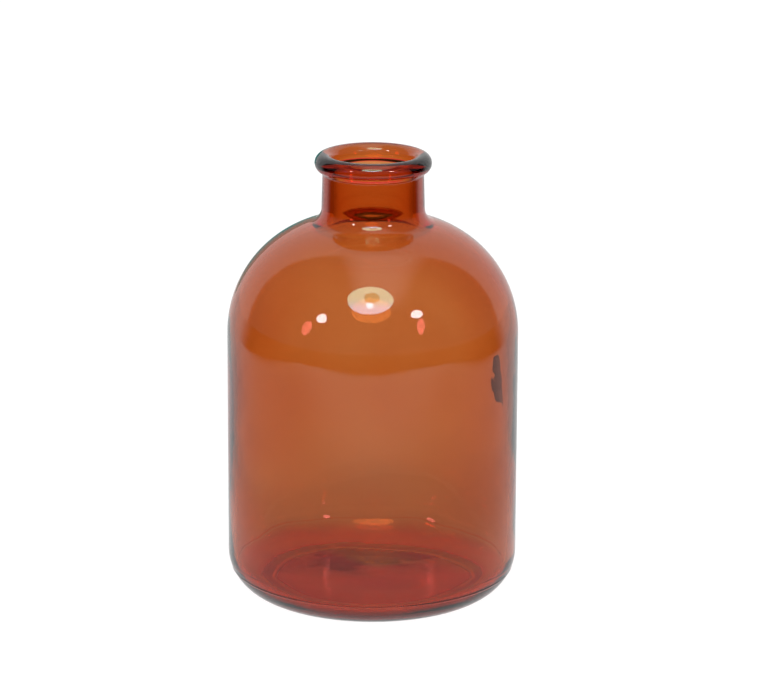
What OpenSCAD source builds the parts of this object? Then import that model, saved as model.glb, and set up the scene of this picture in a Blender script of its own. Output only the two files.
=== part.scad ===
// Glass bud vase: one moulded vessel with a round shoulder, short neck and rolled lip.
// Origin at the centre of the resting plane, +Z up along the axis of the vase. Millimetres.

/* [Overall] */

// Height from the resting plane to the crest of the lip
overall_height = 124; // [118:1:150]

/* [Body] */

// Outside diameter of the straight body
body_diameter = 80; // [76:1:84]

// Height at which the straight wall ends and the shoulder starts
shoulder_start = 74; // [70:1:76]

// Radius of the round shoulder seen in section
shoulder_radius = 32; // [30:1:34]

// Wall thickness of the body and shoulder
wall = 2.3; // [2:0.1:3]

/* [Neck and lip] */

// Outside diameter of the neck where it meets the lip
neck_top_diameter = 27.6; // [26:0.2:29]

// Extra outside diameter of the neck at its foot
neck_flare = 0.8; // [0:0.1:1.5]

// Radius of the hollow where the neck meets the shoulder
neck_fillet = 4.5; // [3:0.5:6]

// Diameter of the straight bore for the stems
bore_diameter = 21.5; // [20:0.5:22]

// Radius that eases the bore into the cavity
bore_fillet = 7; // [5:0.5:9]

// Outside diameter of the rolled lip
lip_diameter = 32; // [31:0.5:36]

// Radius of the hollow under the lip
lip_fillet = 1; // [0.5:0.25:2]

/* [Base] */

// Outside radius between the wall and the resting plane
heel_radius = 12; // [10:1:14]

// Inside radius between the wall and the floor of the cavity
inner_heel_radius = 9; // [6:1:12]

// Height of the cavity floor above the resting plane
floor_height = 3.4; // [3:0.1:5]

// Width of the flat ring the vase rests on
bearing_width = 0.5; // [0.5:0.25:2]

// Height of the hollow under the base at its centre
push_up_height = 1.7; // [1.2:0.1:2]

/* [Display] */

// Which piece to show

/* [Hidden] */

$fn = 0;
$fa = 3;
$fs = 0.4;

glass_colour = [0.66, 0.30, 0.17, 0.85];
overshoot = 1;
fillet_bite = 0.002;

body_radius = body_diameter / 2;
bore_radius = bore_diameter / 2;
neck_top_radius = neck_top_diameter / 2;
neck_foot_radius = neck_top_radius + neck_flare / 2;

// The lip is a round bead whose inside just touches the bore.
lip_bead_radius = (lip_diameter / 2 - bore_radius) / 2;
lip_bead_centre = [bore_radius + lip_bead_radius, overall_height - lip_bead_radius];

// The neck ends at the middle of the lip.
neck_top = [neck_top_radius, lip_bead_centre[1]];

// The outside and inside of the shoulder are drawn about one centre.
shoulder_centre = [body_radius - shoulder_radius, shoulder_start];
shoulder_top = shoulder_start + shoulder_radius;

cavity_radius = body_radius - wall;
cavity_shoulder_radius = shoulder_radius - wall;

bearing_outer_radius = body_radius - heel_radius;
push_up_radius = bearing_outer_radius - bearing_width;

// Lean of the neck from the vertical, wider at the foot.
neck_lean = atan((neck_foot_radius - neck_top_radius) / (neck_top[1] - shoulder_top));

// Centre of a circle of the given radius that rests against a neck line and an arc.
// The line passes through line_point and leans by the given angle. The circle lies above the
// centre of the arc when side is 1 and below it when side is -1. It bites a hair into both,
// so that the outlines cross cleanly instead of only touching.
function fillet_centre(line_point, lean, arc_centre, arc_radius, side, radius) =
    let (
        gap = radius - fillet_bite,
        outward = [cos(lean), sin(lean)],
        upward = [-sin(lean), cos(lean)],
        offset = line_point * outward + gap,
        across = offset - arc_centre * outward,
        reach = sqrt(pow(arc_radius + gap, 2) - pow(across, 2))
    )
    offset * outward + (arc_centre * upward + side * reach) * upward;

// Corner piece between a neck line and an arc, hollowed by the fillet circle.
module neck_corner(line_point, lean, arc_centre, arc_radius, side, radius) {
    centre = fillet_centre(line_point, lean, arc_centre, arc_radius, side, radius);
    inside_neck = centre - (radius + overshoot) * [cos(lean), sin(lean)];
    low = side > 0 ? arc_centre : inside_neck;
    high = side > 0 ? inside_neck : arc_centre;
    difference() {
        polygon([[0, low[1]], low, centre, high, [0, high[1]]]);
        translate(centre)
            circle(r = radius);
    }
}

// Quarter of a disc above the line through its centre, to the right of that centre.
module upper_quarter(centre, radius) {
    translate(centre)
        intersection() {
            circle(r = radius);
            square(radius + overshoot);
        }
}

// Half section of a round-cornered foot: flat bottom, quarter-round corner.
module foot_section(radius, bottom, top, corner) {
    translate([0, bottom])
        square([radius - corner, top - bottom]);
    translate([0, bottom + corner])
        square([radius, top - bottom - corner]);
    translate([radius - corner, bottom + corner])
        circle(r = corner);
}

// Half section of everything inside the outer skin.
module outer_section() {
    foot_section(body_radius, 0, shoulder_start, heel_radius);
    upper_quarter(shoulder_centre, shoulder_radius);
    neck_section();
    neck_corner(neck_top, neck_lean, shoulder_centre, shoulder_radius, 1, neck_fillet);
    neck_corner(neck_top, neck_lean, lip_bead_centre, lip_bead_radius, -1, lip_fillet);
    translate(lip_bead_centre)
        circle(r = lip_bead_radius);
}

// Half section of the solid neck, from inside the shoulder up to the middle of the lip.
module neck_section() {
    spread = (neck_top[1] - shoulder_start) * tan(neck_lean);
    polygon([
        [0, shoulder_start],
        [neck_top_radius + spread, shoulder_start],
        neck_top,
        [0, neck_top[1]]
    ]);
}

// Half section of the cavity, open through the bore.
module cavity_section() {
    foot_section(cavity_radius, floor_height, shoulder_start, inner_heel_radius);
    upper_quarter(shoulder_centre, cavity_shoulder_radius);
    neck_corner([bore_radius, 0], 0, shoulder_centre, cavity_shoulder_radius, 1, bore_fillet);
    translate([0, shoulder_start])
        square([bore_radius, overall_height - shoulder_start + overshoot]);
}

// Half section of the shallow hollow under the base.
module push_up_section() {
    dome_radius = (pow(push_up_radius, 2) + pow(push_up_height, 2)) / (2 * push_up_height);
    intersection() {
        translate([0, push_up_height - dome_radius])
            circle(r = dome_radius);
        translate([0, -overshoot])
            square([body_radius, push_up_height + 2 * overshoot]);
    }
}

// One piece of glass: body, shoulder, neck and lip.
module glass_vessel() {
    color(glass_colour)
        rotate_extrude()
            intersection() {
                difference() {
                    outer_section();
                    cavity_section();
                    push_up_section();
                }
                square([body_radius + overshoot, overall_height + overshoot]);
            }
}

glass_vessel();
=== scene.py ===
"""Amber glass bud vase: one moulded vessel of clear tinted glass, in metres, +Z up."""

import math

import bpy
from mathutils import Matrix, Vector, noise

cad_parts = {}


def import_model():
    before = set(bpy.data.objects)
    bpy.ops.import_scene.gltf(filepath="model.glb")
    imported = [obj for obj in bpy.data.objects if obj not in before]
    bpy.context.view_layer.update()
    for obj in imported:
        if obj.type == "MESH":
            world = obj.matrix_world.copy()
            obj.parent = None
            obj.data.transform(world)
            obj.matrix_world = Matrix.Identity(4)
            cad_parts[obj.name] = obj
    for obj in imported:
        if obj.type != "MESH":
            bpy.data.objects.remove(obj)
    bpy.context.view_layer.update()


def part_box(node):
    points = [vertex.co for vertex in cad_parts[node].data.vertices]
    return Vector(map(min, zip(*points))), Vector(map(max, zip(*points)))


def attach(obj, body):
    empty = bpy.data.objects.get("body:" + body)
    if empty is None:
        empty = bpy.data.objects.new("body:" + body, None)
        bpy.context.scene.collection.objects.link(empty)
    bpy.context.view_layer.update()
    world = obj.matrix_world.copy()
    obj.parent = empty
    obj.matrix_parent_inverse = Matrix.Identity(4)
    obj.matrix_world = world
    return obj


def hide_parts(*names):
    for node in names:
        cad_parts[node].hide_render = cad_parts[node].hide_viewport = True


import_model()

MM = 0.001
WHITE = (1, 1, 1)
BLACK = (0, 0, 0)

# Half section of the vase, in millimetres: the same circles and lines as the CAD part.
SHOULDER_START = 74.0
SHOULDER_RADIUS = 32.0
WALL = 2.3
NECK_TOP_RADIUS = 13.8
NECK_FLARE = 0.4
NECK_FILLET = 4.5
BORE_RADIUS = 10.75
BORE_FILLET = 7.0
LIP_RADIUS = 16.0
LIP_FILLET = 1.0
HEEL_RADIUS = 12.0
INNER_HEEL_RADIUS = 9.0
FLOOR_HEIGHT = 3.4
BEARING_WIDTH = 0.5
PUSH_UP_HEIGHT = 1.7

# The line that the mould leaves round the heel, in millimetres. The mesh is finer within its reach.
SEAM_HEIGHT = 7.3
SEAM_RISE = 0.12
SEAM_WIDTH = 0.25
SEAM_REACH = 1.0

# Unevenness of the glass: its depth and length in millimetres, and the heights between which the
# inner one dies out towards the neck. A gain and a finer wave shape both.
OUTER_WAVE = 0.05
OUTER_WAVE_LENGTH = 22.0
INNER_WAVE = 0.3
INNER_WAVE_LENGTH = 24.0
WAVE_FADE = 88.0
WAVE_END = 104.0
WAVE_GAIN = 1.6
BROAD_SHARE = 0.75
FINE_SCALE = 2.3
WAVE_OFFSET = Vector((53.0, 29.0, 83.0))

# Share of the CAD box that the vase fills, so that rounding never takes it outside.
BODY_SHARE = 0.99995

# Mesh density, and the distance in millimetres below which two points are one.
TURNS = 240
ARC_STEP = math.radians(3.0)
WALL_ROWS = 24
SEAM_ROWS = 16
SAME_POINT = 0.001

# Glass: how fast each colour fades, for each metre of it, and how strongly it bends light.
# The margin keeps blue a little above none in the absorption colour.
ABSORPTION_RED = 90.0
ABSORPTION_GREEN = 390.0
ABSORPTION_BLUE = 750.0
DENSITY_MARGIN = 1.05
GLASS_IOR = 1.5

# Stippled bearing ring: where it begins outwards and ends upwards, in millimetres, with soft edges.
FROST_INNER = 26.5
FROST_INNER_EDGE = 0.5
FROST_TOP = 0.7
FROST_TOP_EDGE = 0.3
FROST_ROUGHNESS = 0.5

# Surface of the glass: scales are features to the metre, and depths are metres.
FILM_SCALE = 55.0
FILM_DETAIL = 4.0
FILM_START = 0.52
FILM_FULL = 0.72
FILM_ROUGHNESS = 0.035
RIPPLE_SCALE = 90.0
RIPPLE_DETAIL = 2.0
RIPPLE_DEPTH = 0.00006
GRAIN_SCALE = 700.0
GRAIN_DETAIL = 3.0
GRAIN_DEPTH = 0.000002

# From here on, places and sizes are in metres, and light is in times the brightness of white paper.

# Paper that the vase stands on. A share of 1 is all glow, or all white to the camera.
FLOOR_SIZE = 6.0
FLOOR_ALBEDO = 0.72
FLOOR_ROUGHNESS = 0.9
GLOW_SHARE = 0.7
SHADE_INNER = 0.12
SHADE_OUTER = 0.34
# Painted shadow: the paper's colour turns reddish under the vase and fades out between the two distances
# below.
SHADOW_TINT_COLOUR = (0.72, 0.32, 0.34)
SHADOW_TINT_INNER = 0.040
SHADOW_TINT_OUTER = 0.060
CAUSTIC_LIGHT = (0.25, 0.17, 0.18)
CAUSTIC_CORE = 0.15
CAUSTIC_MIDDLE = 0.028
CAUSTIC_OUTER = 0.052
CAMERA_SHARE = 0.85
WHITE_LIGHT = 1.15

# The dimmer paper behind the vase to both sides. A slope is metres across for each metre back.
SIDE_DIM = 0.42
SIDE_START = 0.25
SIDE_END = 0.8
BEHIND_START = 0.03
BEHIND_END = 0.15
SMALLEST_DEPTH = 0.001

# The table that mirror reflections see. TABLE_BACK values are metres back for each metre across.
TABLE_SIDES = 64
TABLE_HOLE = 0.0305
TABLE_LIFT = 0.0001
TABLE_BOW = 1.2
TABLE_BOW_REACH = 0.35
TABLE_FRONT_PALE = -0.293
TABLE_FRONT_DARK = -0.318
TABLE_SIDE_PALE = 0.268
TABLE_SIDE_DARK = 0.318
TABLE_BACK_START = 0.3
TABLE_BACK_FULL = 0.75
MIDDLE_LIGHT = 0.6
FRONT_LIGHT = 0.95
FRONT_START = -0.13
FRONT_FULL = -0.25
REAR_LIGHT = 0.78
REAR_START = -0.02
REAR_FULL = 0.2
FOOT_LIGHT = 0.18
FOOT_START = 0.13
FOOT_FULL = 0.07

# Lamps: cards that all face one point of the shoulder.
LAMP_AIM = (0, -0.0345, 0.092)
CARD_SIDES = 48

# The umbrella lamp. Its hub and bulb are discs with a soft edge between two radii.
UMBRELLA_SIZE = (0.31, 0.26)
UMBRELLA_DISTANCE = 0.5
UMBRELLA_TURN = -3
UMBRELLA_RISE = 53
TWIN_RISE = 44
TWIN_LIGHT = (9.0, 8.8, 9.2)
CLOTH_LOW = (4.6, 8.2, 10.8)
CLOTH_HIGH = (6.4, 9.8, 6.6)
CLOTH_START = -0.09
CLOTH_END = 0.02
HUB_PLACE = (0.01, 0.02)
HUB_RADII = (0.045, 0.055)
HUB_LIGHT = (3.6, 4.6, 2.0)
BULB_PLACE = (0.0, -0.05)
BULB_RADII = (0.012, 0.035)
BULB_LIGHT = (12.0, 22.0, 26.0)

# Small lamps: name, degrees round from the front, degrees up, width, height and colour.
SMALL_LAMP_DISTANCE = 0.6
SMALL_LAMP_LIGHT = 18.0
SMALL_LAMPS = (
    ("left_lamp", -47, 28, 0.088, 0.09, (1, 1, 1.05)),
    ("left_twin", -61, 18, 0.085, 0.14, (1.0, 0.8, 4.0)),
    ("right_lamp", 42, 34, 0.10, 0.075, (1, 1, 1.05)),
    ("right_twin", 46, 18, 0.06, 0.16, (1.0, 0.8, 4.0)),
)

# A black card and a dim one, both behind the vase.
SPOT_SIZE = (0.013, 0.028)
SPOT_PLACE = (0.072, 0.198, 0.0006)
FLAG_SIZE = (0.225, 0.225)
FLAG_PLACE = (-0.13, 0.5, 0.085)
FLAG_LIGHT = (0.1, 0.36, 0.34)

# Surroundings. Their places are directions: the X, Y or Z of a line of length 1 from the vase.
BACKDROP_LIGHT = 0.8
BAND_COLOUR = (1.35, 0.3, 1.3)
BAND_MIDDLE = 0.1
BAND_SIDE = 0.22
BAND_LOW = (0.2, 0.3)
BAND_HIGH = (0.6, 0.45)
ROOM_LIGHT = 0.18
ROOM_PALE = 0.51
ROOM_DARK = 0.44
ROOM_BOW = 0.25
ROOM_BOW_POWER = 4.0
CEILING_START = 0.6
CEILING_FULL = 0.9
CEILING_MIDDLE = 0.08
CEILING_REACH = 0.4

# Camera: angles in degrees, lens and sensor in millimetres.
CAMERA_PLACE = (0, -1.0087, 0.3537)
CAMERA_DOWN = 15.7881
CAMERA_TURN = 0.0911
CAMERA_ROLL = 0.219
CAMERA_LENS = 181.2
CAMERA_SENSOR = 36.0
CAMERA_NEAREST = 0.01
CAMERA_FURTHEST = 50.0

MAX_BOUNCES = 32
MAX_MIRROR_BOUNCES = 16


# ---------------------------------------------------------------- outline

def arc(centre, radius, start, end):
    """Points on a circle from angle start to angle end, in radians, both included."""
    steps = max(2, round(abs(end - start) / ARC_STEP))
    angles = [start + (end - start) * i / steps for i in range(steps + 1)]
    return [(centre[0] + radius * math.cos(a), centre[1] + radius * math.sin(a)) for a in angles]


def line(start, end, rows):
    """Points from start to end, both included."""
    return [
        (start[0] + (end[0] - start[0]) * i / rows, start[1] + (end[1] - start[1]) * i / rows)
        for i in range(rows + 1)
    ]


def heel_with_seam(centre):
    """The outside heel, with the fine raised line where the base plate of the mould met its walls."""
    seam = math.asin((SEAM_HEIGHT - HEEL_RADIUS) / HEEL_RADIUS)
    reach = SEAM_REACH / HEEL_RADIUS
    points = arc(centre, HEEL_RADIUS, -math.pi / 2, seam - reach)
    for i in range(1, SEAM_ROWS):
        angle = seam - reach + 2 * reach * i / SEAM_ROWS
        rise = SEAM_RISE * math.exp(-(((angle - seam) * HEEL_RADIUS / SEAM_WIDTH) ** 2))
        radius = HEEL_RADIUS + rise
        points.append((centre[0] + radius * math.cos(angle), centre[1] + radius * math.sin(angle)))
    return points + arc(centre, HEEL_RADIUS, seam + reach, 0)


def fillet_centre(neck_point, lean, arc_centre, arc_radius, side, radius):
    """Centre of the circle that touches the neck line and an arc, above (1) or below (-1) it."""
    outward = Vector((math.cos(lean), math.sin(lean)))
    upward = Vector((-math.sin(lean), math.cos(lean)))
    offset = Vector(neck_point).dot(outward) + radius
    across = offset - Vector(arc_centre).dot(outward)
    reach = math.sqrt((arc_radius + radius) ** 2 - across ** 2)
    along = Vector(arc_centre).dot(upward) + side * reach
    return offset * outward + along * upward


def angle_of(vector):
    return math.atan2(vector[1], vector[0])


def outside_outline(body_radius, height):
    """From the centre of the base, up the outside, to the innermost point of the lip."""
    bead_radius = (LIP_RADIUS - BORE_RADIUS) / 2
    bead = Vector((BORE_RADIUS + bead_radius, height - bead_radius))
    shoulder = Vector((body_radius - SHOULDER_RADIUS, SHOULDER_START))
    neck_top = (NECK_TOP_RADIUS, bead[1])
    lean = math.atan(NECK_FLARE / (neck_top[1] - SHOULDER_START - SHOULDER_RADIUS))
    low = fillet_centre(neck_top, lean, shoulder, SHOULDER_RADIUS, 1, NECK_FILLET)
    high = fillet_centre(neck_top, lean, bead, bead_radius, -1, LIP_FILLET)
    ring_radius = body_radius - HEEL_RADIUS
    hollow_radius = ring_radius - BEARING_WIDTH
    dome_radius = (hollow_radius ** 2 + PUSH_UP_HEIGHT ** 2) / (2 * PUSH_UP_HEIGHT)
    dome_edge = math.acos(hollow_radius / dome_radius)
    dome_centre = (0, PUSH_UP_HEIGHT - dome_radius)
    dome = arc(dome_centre, dome_radius, math.pi / 2, dome_edge)
    shoulder_end = angle_of(low - shoulder)
    bead_start = angle_of(high - bead)
    pieces = [
        dome,
        heel_with_seam((ring_radius, HEEL_RADIUS)),
        line((body_radius, HEEL_RADIUS), (body_radius, SHOULDER_START), WALL_ROWS),
        arc(shoulder, SHOULDER_RADIUS, 0, shoulder_end),
        arc(low, NECK_FILLET, shoulder_end - math.pi, lean - math.pi),
        arc(high, LIP_FILLET, lean + math.pi, bead_start + math.pi),
        arc(bead, bead_radius, bead_start, math.pi),
    ]
    return joined(pieces)


def inside_outline(body_radius, height):
    """From the innermost point of the lip, down the bore and the cavity, to its floor's centre."""
    bead_radius = (LIP_RADIUS - BORE_RADIUS) / 2
    bore_top = (BORE_RADIUS, height - bead_radius)
    shoulder = Vector((body_radius - SHOULDER_RADIUS, SHOULDER_START))
    cavity_radius = body_radius - WALL
    low = fillet_centre(bore_top, 0, shoulder, SHOULDER_RADIUS - WALL, 1, BORE_FILLET)
    shoulder_end = angle_of(low - shoulder)
    heel = (cavity_radius - INNER_HEEL_RADIUS, FLOOR_HEIGHT + INNER_HEEL_RADIUS)
    pieces = [
        line(bore_top, (BORE_RADIUS, low[1]), WALL_ROWS // 2),
        arc(low, BORE_FILLET, math.pi, shoulder_end + math.pi),
        arc(shoulder, SHOULDER_RADIUS - WALL, shoulder_end, 0),
        line((cavity_radius, SHOULDER_START), (cavity_radius, heel[1]), WALL_ROWS),
        arc(heel, INNER_HEEL_RADIUS, 0, -math.pi / 2),
        line((heel[0], FLOOR_HEIGHT), (0, FLOOR_HEIGHT), WALL_ROWS // 2),
    ]
    return joined(pieces)


def joined(pieces):
    """One list of points, without the doubled point where two pieces meet."""
    points = []
    for piece in pieces:
        for point in piece:
            if not points or math.dist(points[-1], point) > SAME_POINT:
                points.append(point)
    return points


# ---------------------------------------------------------------- mesh

def wave(place, length):
    """Smooth unevenness of blown glass at a point in millimetres, about -1 to 1."""
    broad = noise.noise(place / length)
    fine = noise.noise(place * FINE_SCALE / length + WAVE_OFFSET)
    return WAVE_GAIN * (BROAD_SHARE * broad + (1 - BROAD_SHARE) * fine)


def surface_normal(outline, index):
    """Direction that points out of the glass at one point of the outline."""
    before, after = Vector(outline[index - 1]), Vector(outline[index + 1])
    along = (after - before).normalized()
    return Vector((along[1], -along[0]))


def waved_ring(outline, index, depth, lift):
    """One ring of the lathe. The glass surface is lower by up to depth, and swings by lift both ways."""
    radius, height = outline[index]
    normal = surface_normal(outline, index)
    points = []
    for i in range(TURNS):
        turn = 2 * math.pi * i / TURNS
        place = Vector((radius * math.cos(turn), radius * math.sin(turn), height))
        offset = depth * (wave(place + WAVE_OFFSET, OUTER_WAVE_LENGTH) - 1) / 2
        offset += lift * wave(place, INNER_WAVE_LENGTH)
        offset = min(offset, lift)
        across, rise = radius + offset * normal[0], height + offset * normal[1]
        points.append((across * MM * math.cos(turn), across * MM * math.sin(turn), rise * MM))
    return points


def steady(height, low, high):
    """0 at the height low and below, 1 at the height high and above."""
    share = min(1.0, max(0.0, (height - low) / (high - low)))
    return share * share * (3 - 2 * share)


def lathe(name, outside, inside):
    """Closed surface of revolution about Z, from the middle of the base to the middle of the floor."""
    outline = joined([outside, inside])
    rings = len(outline) - 2
    vertices = [(0, 0, outline[0][1] * MM)]
    for index in range(1, len(outline) - 1):
        height = outline[index][1]
        if index < len(outside) - 1:
            share = steady(height, 0.0, HEEL_RADIUS)
            vertices += waved_ring(outline, index, OUTER_WAVE * share, 0.0)
        else:
            share = 1 - steady(height, WAVE_FADE, WAVE_END)
            vertices += waved_ring(outline, index, 0.0, INNER_WAVE * share)
    vertices.append((0, 0, outline[-1][1] * MM))
    last = len(vertices) - 1
    faces = []
    for i in range(TURNS):
        j = (i + 1) % TURNS
        faces.append((0, 1 + j, 1 + i))
        for ring in range(rings - 1):
            a = 1 + ring * TURNS
            faces.append((a + i, a + j, a + TURNS + j, a + TURNS + i))
        a = 1 + (rings - 1) * TURNS
        faces.append((a + i, a + j, last))
    mesh = bpy.data.meshes.new(name)
    mesh.from_pydata(vertices, [], faces)
    mesh.validate()
    mesh.shade_smooth()
    return put(name, mesh)


# ---------------------------------------------------------------- nodes

def feed(tree, socket, value):
    """Gives a socket a number, a colour of three numbers, or another node's output."""
    if isinstance(value, bpy.types.NodeSocket):
        tree.links.new(value, socket)
    elif isinstance(value, tuple):
        socket.default_value = (*value, 1)
    else:
        socket.default_value = value


def maths(tree, operation, *values):
    """A Math node. Each value is a number or another node's output."""
    node = tree.nodes.new("ShaderNodeMath")
    node.operation = operation
    for socket, value in zip(node.inputs, values):
        feed(tree, socket, value)
    return node.outputs["Value"]


def plus(tree, first, second):
    return maths(tree, "ADD", first, second)


def times(tree, first, second):
    return maths(tree, "MULTIPLY", first, second)


def square(tree, value):
    return times(tree, value, value)


def inverse(tree, value):
    return maths(tree, "SUBTRACT", 1.0, value)


def fade(tree, value, start, end):
    """0 where value is start, 1 where it is end, and a smooth step between."""
    node = tree.nodes.new("ShaderNodeMapRange")
    node.interpolation_type = "SMOOTHSTEP"
    feed(tree, node.inputs["Value"], value)
    feed(tree, node.inputs["From Min"], start)
    feed(tree, node.inputs["From Max"], end)
    return node.outputs["Result"]


def place_on_object(tree):
    """Where a point of the surface is on its own object, in metres."""
    return tree.nodes.new("ShaderNodeTexCoord").outputs["Object"]


def axes_of(tree, vector):
    """The X, Y and Z of a vector, each by its name."""
    node = tree.nodes.new("ShaderNodeSeparateXYZ")
    tree.links.new(vector, node.inputs["Vector"])
    return node.outputs


def length_of(tree, vector):
    node = tree.nodes.new("ShaderNodeVectorMath")
    node.operation = "LENGTH"
    tree.links.new(vector, node.inputs[0])
    return node.outputs["Value"]


def blend(tree, share, first, second):
    """A colour: first where share is 0, second where it is 1."""
    node = tree.nodes.new("ShaderNodeMix")
    node.data_type = "RGBA"
    feed(tree, node.inputs["Factor"], share)
    feed(tree, node.inputs["A"], first)
    feed(tree, node.inputs["B"], second)
    return node.outputs["Result"]


def emission(tree, colour, strength):
    node = tree.nodes.new("ShaderNodeEmission")
    feed(tree, node.inputs["Color"], colour)
    feed(tree, node.inputs["Strength"], strength)
    return node.outputs["Emission"]


def background(tree, colour, strength):
    node = tree.nodes.new("ShaderNodeBackground")
    feed(tree, node.inputs["Color"], colour)
    feed(tree, node.inputs["Strength"], strength)
    return node.outputs["Background"]


def added(tree, first, second):
    node = tree.nodes.new("ShaderNodeAddShader")
    tree.links.new(first, node.inputs[0])
    tree.links.new(second, node.inputs[1])
    return node.outputs["Shader"]


def mixed(tree, share, first, second):
    """A Mix Shader: first where share is 0, second where it is 1."""
    node = tree.nodes.new("ShaderNodeMixShader")
    tree.links.new(share, node.inputs["Fac"])
    tree.links.new(first, node.inputs[1])
    tree.links.new(second, node.inputs[2])
    return node.outputs["Shader"]


def show(tree, shader):
    """Makes a shader the surface of its material."""
    tree.links.new(shader, tree.nodes["Material Output"].inputs["Surface"])


# ---------------------------------------------------------------- glass

def glass_material():
    """Clear glass, coloured through, that takes away little red, more green and most blue."""
    material = bpy.data.materials.new("amber_glass")
    material.use_nodes = True
    tree = material.node_tree
    shader = tree.nodes["Principled BSDF"]
    shader.inputs["Base Color"].default_value = (*WHITE, 1)
    shader.inputs["Roughness"].default_value = 0.0
    shader.inputs["IOR"].default_value = GLASS_IOR
    shader.inputs["Transmission Weight"].default_value = 1.0
    tree.links.new(surface_roughness(tree), shader.inputs["Roughness"])
    tree.links.new(surface_ripple(tree), shader.inputs["Normal"])
    density = ABSORPTION_BLUE * DENSITY_MARGIN
    volume = tree.nodes.new("ShaderNodeVolumeAbsorption")
    volume.inputs["Density"].default_value = density
    volume.inputs["Color"].default_value = (
        1 - ABSORPTION_RED / density,
        1 - ABSORPTION_GREEN / density,
        1 - ABSORPTION_BLUE / density,
        1,
    )
    tree.links.new(volume.outputs["Volume"], tree.nodes["Material Output"].inputs["Volume"])
    return material


def grain(tree, scale, detail):
    """A noise texture on the vase, with the given number of features to the metre."""
    node = tree.nodes.new("ShaderNodeTexNoise")
    node.inputs["Scale"].default_value = scale
    node.inputs["Detail"].default_value = detail
    tree.links.new(place_on_object(tree), node.inputs["Vector"])
    return node.outputs["Fac"]


def surface_roughness(tree):
    """Fire-polished glass with a faint handling film in patches, and the stippled bearing ring."""
    film = fade(tree, grain(tree, FILM_SCALE, FILM_DETAIL), FILM_START, FILM_FULL)
    return plus(tree, times(tree, film, FILM_ROUGHNESS), bearing_frost(tree))


def bearing_frost(tree):
    """Roughness of the stippled ring that the vase stands on, and none elsewhere."""
    place = axes_of(tree, place_on_object(tree))
    radius = maths(tree, "SQRT", plus(tree, square(tree, place["X"]), square(tree, place["Y"])))
    outer = fade(tree, radius, FROST_INNER * MM, (FROST_INNER + FROST_INNER_EDGE) * MM)
    low = fade(tree, place["Z"], FROST_TOP * MM, (FROST_TOP - FROST_TOP_EDGE) * MM)
    return times(tree, times(tree, outer, low), FROST_ROUGHNESS)


def surface_ripple(tree):
    """Shallow ripples that the mould leaves, and finer ones from its metal."""
    broad = tree.nodes.new("ShaderNodeBump")
    broad.inputs["Distance"].default_value = RIPPLE_DEPTH
    tree.links.new(grain(tree, RIPPLE_SCALE, RIPPLE_DETAIL), broad.inputs["Height"])
    fine = tree.nodes.new("ShaderNodeBump")
    fine.inputs["Distance"].default_value = GRAIN_DEPTH
    tree.links.new(grain(tree, GRAIN_SCALE, GRAIN_DETAIL), fine.inputs["Height"])
    tree.links.new(broad.outputs["Normal"], fine.inputs["Normal"])
    return fine.outputs["Normal"]


# ---------------------------------------------------------------- pieces and cards

def put(name, mesh):
    piece = bpy.data.objects.new(name, mesh)
    bpy.context.scene.collection.objects.link(piece)
    return piece


def seen_by(piece, glossy=False, transmission=False):
    """Shows a piece of the stage only to mirror reflections or to light from inside the glass."""
    piece.visible_camera = False
    piece.visible_diffuse = False
    piece.visible_glossy = glossy
    piece.visible_transmission = transmission
    piece.visible_shadow = False


def ellipse(width, height, lift, sides):
    """Points of a level ellipse about the Z axis."""
    turns = [2 * math.pi * i / sides for i in range(sides)]
    return [(width / 2 * math.cos(a), height / 2 * math.sin(a), lift) for a in turns]


def empty_material(name):
    """A material with nothing on its surface yet."""
    material = bpy.data.materials.new(name)
    material.use_nodes = True
    material.node_tree.nodes.remove(material.node_tree.nodes["Principled BSDF"])
    return material


def even_light(name, colour, strength):
    """A material that glows the same all over."""
    material = empty_material(name)
    tree = material.node_tree
    show(tree, emission(tree, colour, strength))
    return material


def card(name, size, material, glossy=False, transmission=False):
    """A level oval card of the studio."""
    mesh = bpy.data.meshes.new(name)
    mesh.from_pydata(ellipse(*size, 0, CARD_SIDES), [], [tuple(range(CARD_SIDES))])
    mesh.materials.append(material)
    piece = put(name, mesh)
    seen_by(piece, glossy, transmission)
    return piece


def stand(piece, place, outward):
    """Puts a card at a place, square to the direction outward."""
    turned = outward.to_track_quat("Z", "Y").to_matrix().to_4x4()
    piece.matrix_world = Matrix.Translation(place) @ turned


# ---------------------------------------------------------------- floor

def floor():
    """The sheet of paper that the vase stands on."""
    half = FLOOR_SIZE / 2
    corners = [(-half, -half, 0), (half, -half, 0), (half, half, 0), (-half, half, 0)]
    mesh = bpy.data.meshes.new("floor")
    mesh.from_pydata(corners, [], [(0, 1, 2, 3)])
    mesh.materials.append(floor_material())
    put("floor", mesh)


def floor_material():
    """Pale paper on a table lit from below. The camera sees it as white."""
    material = bpy.data.materials.new("pale_floor")
    material.use_nodes = True
    tree = material.node_tree
    rays = tree.nodes.new("ShaderNodeLightPath").outputs
    place = place_on_object(tree)
    distance = length_of(tree, place)
    glowing = times(tree, fade(tree, distance, SHADE_INNER, SHADE_OUTER), GLOW_SHARE)
    lit = mixed(tree, glowing, paper(tree, distance), emission(tree, WHITE, BACKDROP_LIGHT))
    gathered = added(tree, lit, light_through_glass(tree, distance))
    dimmed = mixed(tree, beside(tree, place, rays), gathered, emission(tree, BLACK, 0.0))
    direct = times(tree, rays["Is Camera Ray"], CAMERA_SHARE)
    show(tree, mixed(tree, direct, dimmed, emission(tree, WHITE, WHITE_LIGHT)))
    return material


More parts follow.
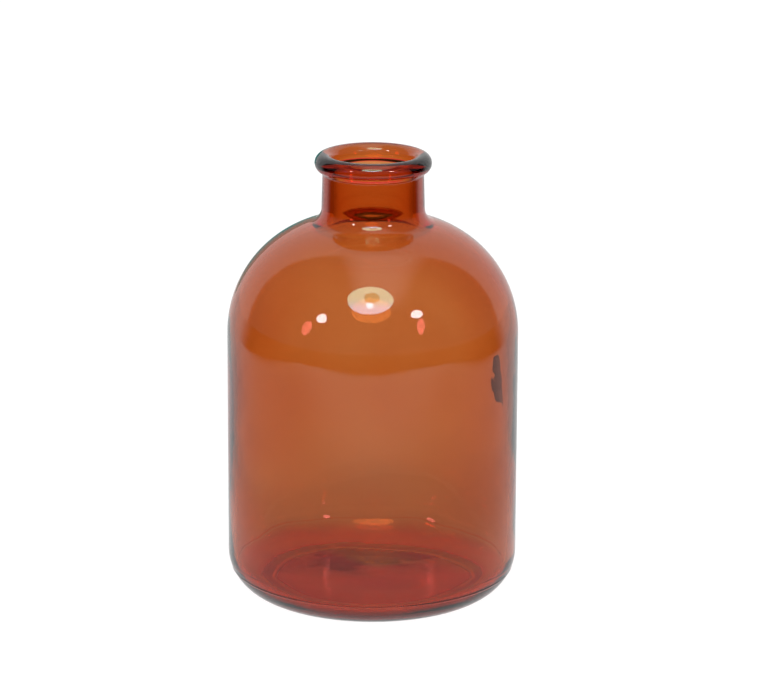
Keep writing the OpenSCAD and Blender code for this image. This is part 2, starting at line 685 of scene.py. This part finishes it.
def paper(tree, distance):
    """Matt paper, with a painted reddish shadow under the vase for the light that comes through its glass.
    """
    shader = tree.nodes["Principled BSDF"]
    shader.inputs["Roughness"].default_value = FLOOR_ROUGHNESS
    shader.inputs["Specular IOR Level"].default_value = 0.0
    # Painted shadow: near the vase the paper's colour is the reddish shadow tint.
    away = fade(tree, distance, SHADOW_TINT_INNER, SHADOW_TINT_OUTER)
    painted_shadow = blend(tree, away, SHADOW_TINT_COLOUR, (FLOOR_ALBEDO, FLOOR_ALBEDO, FLOOR_ALBEDO))
    tree.links.new(painted_shadow, shader.inputs["Base Color"])
    return shader.outputs["BSDF"]


def light_through_glass(tree, distance):
    """The faint ring of light that the glass gathers on the paper under it."""
    rise = times(tree, fade(tree, distance, 0.0, CAUSTIC_MIDDLE), 1 - CAUSTIC_CORE)
    fall = fade(tree, distance, CAUSTIC_OUTER, CAUSTIC_MIDDLE)
    return emission(tree, CAUSTIC_LIGHT, times(tree, plus(tree, rise, CAUSTIC_CORE), fall))


def beside(tree, place, rays):
    """How much darker the paper looks through the glass, behind the vase and off to one side."""
    axes = axes_of(tree, place)
    across = maths(tree, "ABSOLUTE", axes["X"])
    slope = maths(tree, "DIVIDE", across, maths(tree, "MAXIMUM", axes["Y"], SMALLEST_DEPTH))
    wide = fade(tree, slope, SIDE_START, SIDE_END)
    behind = fade(tree, axes["Y"], BEHIND_START, BEHIND_END)
    share = times(tree, times(tree, wide, behind), SIDE_DIM)
    return times(tree, share, rays["Is Transmission Ray"])


# ---------------------------------------------------------------- mirrored floor

def mirrored_floor():
    """What mirror reflections see of the floor: a sheet just above it, with a hole for the vase."""
    outside = ellipse(2 * FLOOR_SIZE, 2 * FLOOR_SIZE, TABLE_LIFT, TABLE_SIDES)
    inside = ellipse(2 * TABLE_HOLE, 2 * TABLE_HOLE, TABLE_LIFT, TABLE_SIDES)
    faces = []
    for i in range(TABLE_SIDES):
        j = (i + 1) % TABLE_SIDES
        faces.append((i, j, TABLE_SIDES + j, TABLE_SIDES + i))
    mesh = bpy.data.meshes.new("mirrored_floor")
    mesh.from_pydata(outside + inside, [], faces)
    mesh.materials.append(mirrored_floor_material())
    piece = put("mirrored_floor", mesh)
    seen_by(piece, glossy=True)


def mirrored_floor_material():
    """A pale table that ends in the dark, in front and at both sides."""
    material = empty_material("mirrored_floor")
    tree = material.node_tree
    place = place_on_object(tree)
    axes = axes_of(tree, place)
    light = table_light(tree, axes, length_of(tree, place))
    show(tree, emission(tree, WHITE, times(tree, table_top(tree, axes), light)))
    return material


def table_top(tree, axes):
    """1 on the table. It ends in a bowed edge in front and at both sides, but not towards the back."""
    across = maths(tree, "ABSOLUTE", axes["X"])
    near = maths(tree, "MINIMUM", across, TABLE_BOW_REACH)
    bow = times(tree, square(tree, near), -TABLE_BOW)
    front = fade(tree, plus(tree, axes["Y"], bow), TABLE_FRONT_DARK, TABLE_FRONT_PALE)
    side = fade(tree, across, TABLE_SIDE_PALE, TABLE_SIDE_DARK)
    slope = maths(tree, "DIVIDE", axes["Y"], across)
    back = fade(tree, slope, TABLE_BACK_START, TABLE_BACK_FULL)
    past_side = times(tree, side, inverse(tree, back))
    return times(tree, front, inverse(tree, past_side))


def table_light(tree, axes, distance):
    """Light of the table: more towards the camera, behind the vase and round its foot."""
    brighter = (
        (axes["Y"], FRONT_START, FRONT_FULL, FRONT_LIGHT - MIDDLE_LIGHT),
        (axes["Y"], REAR_START, REAR_FULL, REAR_LIGHT - MIDDLE_LIGHT),
        (distance, FOOT_START, FOOT_FULL, FOOT_LIGHT),
    )
    light = MIDDLE_LIGHT
    for value, start, full, extra in brighter:
        light = plus(tree, times(tree, fade(tree, value, start, full), extra), light)
    return light


# ---------------------------------------------------------------- lamps and dark cards

def disc(tree, axes, centre, radii):
    """1 within the inner radius of a point on a card, and 0 beyond the outer one."""
    across = maths(tree, "SUBTRACT", axes["X"], centre[0])
    along = maths(tree, "SUBTRACT", axes["Y"], centre[1])
    distance = maths(tree, "SQRT", plus(tree, square(tree, across), square(tree, along)))
    inner, outer = radii
    return fade(tree, distance, outer, inner)


def umbrella_material():
    """The big lamp: coloured cloth, with the bare bulb below its darker hub."""
    material = empty_material("umbrella")
    tree = material.node_tree
    axes = axes_of(tree, place_on_object(tree))
    light = blend(tree, fade(tree, axes["Y"], CLOTH_START, CLOTH_END), CLOTH_LOW, CLOTH_HIGH)
    light = blend(tree, disc(tree, axes, HUB_PLACE, HUB_RADII), light, HUB_LIGHT)
    light = blend(tree, disc(tree, axes, BULB_PLACE, BULB_RADII), light, BULB_LIGHT)
    show(tree, emission(tree, light, 1.0))
    return material


def lamp(name, size, material, azimuth, elevation, distance):
    """A card that faces the shoulder. Mirror reflections see it, and light from inside sees a twin."""
    twin = name.endswith("twin")
    piece = card(name, size, material, glossy=not twin, transmission=twin)
    turn, rise = math.radians(azimuth), math.radians(elevation)
    level = math.cos(rise)
    outward = Vector((math.sin(turn) * level, -math.cos(turn) * level, math.sin(rise)))
    stand(piece, Vector(LAMP_AIM) + outward * distance, outward)
    return piece


def lamps():
    """The umbrella and two small lamps, each with its twin. The umbrella's twin also lights the floor."""
    cloth = umbrella_material()
    plain = even_light("umbrella_twin", TWIN_LIGHT, 1.0)
    lamp("umbrella", UMBRELLA_SIZE, cloth, UMBRELLA_TURN, UMBRELLA_RISE, UMBRELLA_DISTANCE)
    twin = lamp("umbrella_twin", UMBRELLA_SIZE, plain, UMBRELLA_TURN, TWIN_RISE, UMBRELLA_DISTANCE)
    twin.visible_diffuse = True
    for name, azimuth, elevation, width, height, colour in SMALL_LAMPS:
        material = even_light(name, colour, SMALL_LAMP_LIGHT)
        lamp(name, (width, height), material, azimuth, elevation, SMALL_LAMP_DISTANCE)


def dark_spot():
    """A small black card behind the vase that shows only through the glass."""
    piece = card("dark_spot", SPOT_SIZE, even_light("black_card", BLACK, 0.0), transmission=True)
    piece.location = SPOT_PLACE


def dim_flag():
    """A dim round card, behind and to the left, that only the edge of the left shoulder mirrors."""
    piece = card("dim_flag", FLAG_SIZE, even_light("dim_card", FLAG_LIGHT, 1.0), glossy=True)
    stand(piece, Vector(FLAG_PLACE), Vector(FLAG_PLACE).normalized())


# ---------------------------------------------------------------- surroundings and camera

def world():
    """Even pale light all round. Mirror reflections see a dark room in front of the backdrop."""
    surroundings = bpy.data.worlds.new("studio")
    surroundings.use_nodes = True
    tree = surroundings.node_tree
    tree.nodes.remove(tree.nodes["Background"])
    rays = tree.nodes.new("ShaderNodeLightPath").outputs
    direction = axes_of(tree, tree.nodes.new("ShaderNodeTexCoord").outputs["Generated"])
    dark = times(tree, in_front(tree, direction), rays["Is Glossy Ray"])
    seen = mixed(tree, dark, backdrop(tree, direction, rays), room(tree, direction))
    tree.links.new(seen, tree.nodes["World Output"].inputs["Surface"])
    bpy.context.scene.world = surroundings


def backdrop(tree, direction, rays):
    """Pale surroundings. The camera sees them as white, and light from inside sees a coloured band."""
    share = times(tree, coloured_band(tree, direction), rays["Is Transmission Ray"])
    extra = times(tree, rays["Is Camera Ray"], WHITE_LIGHT - BACKDROP_LIGHT)
    return background(tree, blend(tree, share, WHITE, BAND_COLOUR), plus(tree, extra, BACKDROP_LIGHT))


def coloured_band(tree, direction):
    """1 on a low band straight behind and in front, which the base of the vase mirrors inside the glass."""
    upright = times(tree, fade(tree, direction["Z"], *BAND_LOW), fade(tree, direction["Z"], *BAND_HIGH))
    across = maths(tree, "ABSOLUTE", direction["X"])
    return times(tree, upright, fade(tree, across, BAND_SIDE, BAND_MIDDLE))


def in_front(tree, direction):
    """1 on the camera's side of the backdrop, whose edge bows towards the camera overhead and below."""
    rise = maths(tree, "POWER", maths(tree, "ABSOLUTE", direction["Z"]), ROOM_BOW_POWER)
    depth = plus(tree, direction["Y"], times(tree, rise, ROOM_BOW))
    return fade(tree, depth, ROOM_PALE, ROOM_DARK)


def room(tree, direction):
    """The dark room, with a paler ceiling."""
    aside = maths(tree, "SUBTRACT", direction["X"], CEILING_MIDDLE)
    middle = fade(tree, square(tree, aside), CEILING_REACH ** 2, 0.0)
    ceiling = times(tree, fade(tree, direction["Z"], CEILING_START, CEILING_FULL), middle)
    return background(tree, WHITE, plus(tree, ceiling, ROOM_LIGHT))


def camera():
    """A long lens in front of the vase, above it and looking a little down."""
    data = bpy.data.cameras.new("camera")
    data.lens = CAMERA_LENS
    data.sensor_width = CAMERA_SENSOR
    data.clip_start = CAMERA_NEAREST
    data.clip_end = CAMERA_FURTHEST
    view = bpy.data.objects.new("camera", data)
    down, turn, roll = (math.radians(a) for a in (CAMERA_DOWN, CAMERA_TURN, CAMERA_ROLL))
    level = math.cos(down)
    forward = Vector((math.sin(turn) * level, math.cos(turn) * level, -math.sin(down)))
    right = forward.cross(Vector((0, 0, 1))).normalized()
    up = right.cross(forward)
    turned_right = math.cos(roll) * right + math.sin(roll) * up
    turned_up = math.cos(roll) * up - math.sin(roll) * right
    axes = Matrix((turned_right, turned_up, -forward)).transposed()
    view.matrix_world = Matrix.Translation(CAMERA_PLACE) @ axes.to_4x4()
    bpy.context.scene.collection.objects.link(view)
    bpy.context.scene.camera = view


low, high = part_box("glass_vessel")
body_radius = BODY_SHARE * (high[0] - low[0]) / 2 / MM
height = BODY_SHARE * high[2] / MM
vase = lathe("vase", outside_outline(body_radius, height), inside_outline(body_radius, height))
vase.data.materials.append(glass_material())
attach(vase, "root")
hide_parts("glass_vessel")

floor()
mirrored_floor()
lamps()
dark_spot()
dim_flag()
world()
camera()
scene = bpy.context.scene
scene.view_settings.view_transform = "Standard"
scene.cycles.max_bounces = MAX_BOUNCES
scene.cycles.transmission_bounces = MAX_BOUNCES
scene.cycles.glossy_bounces = MAX_MIRROR_BOUNCES
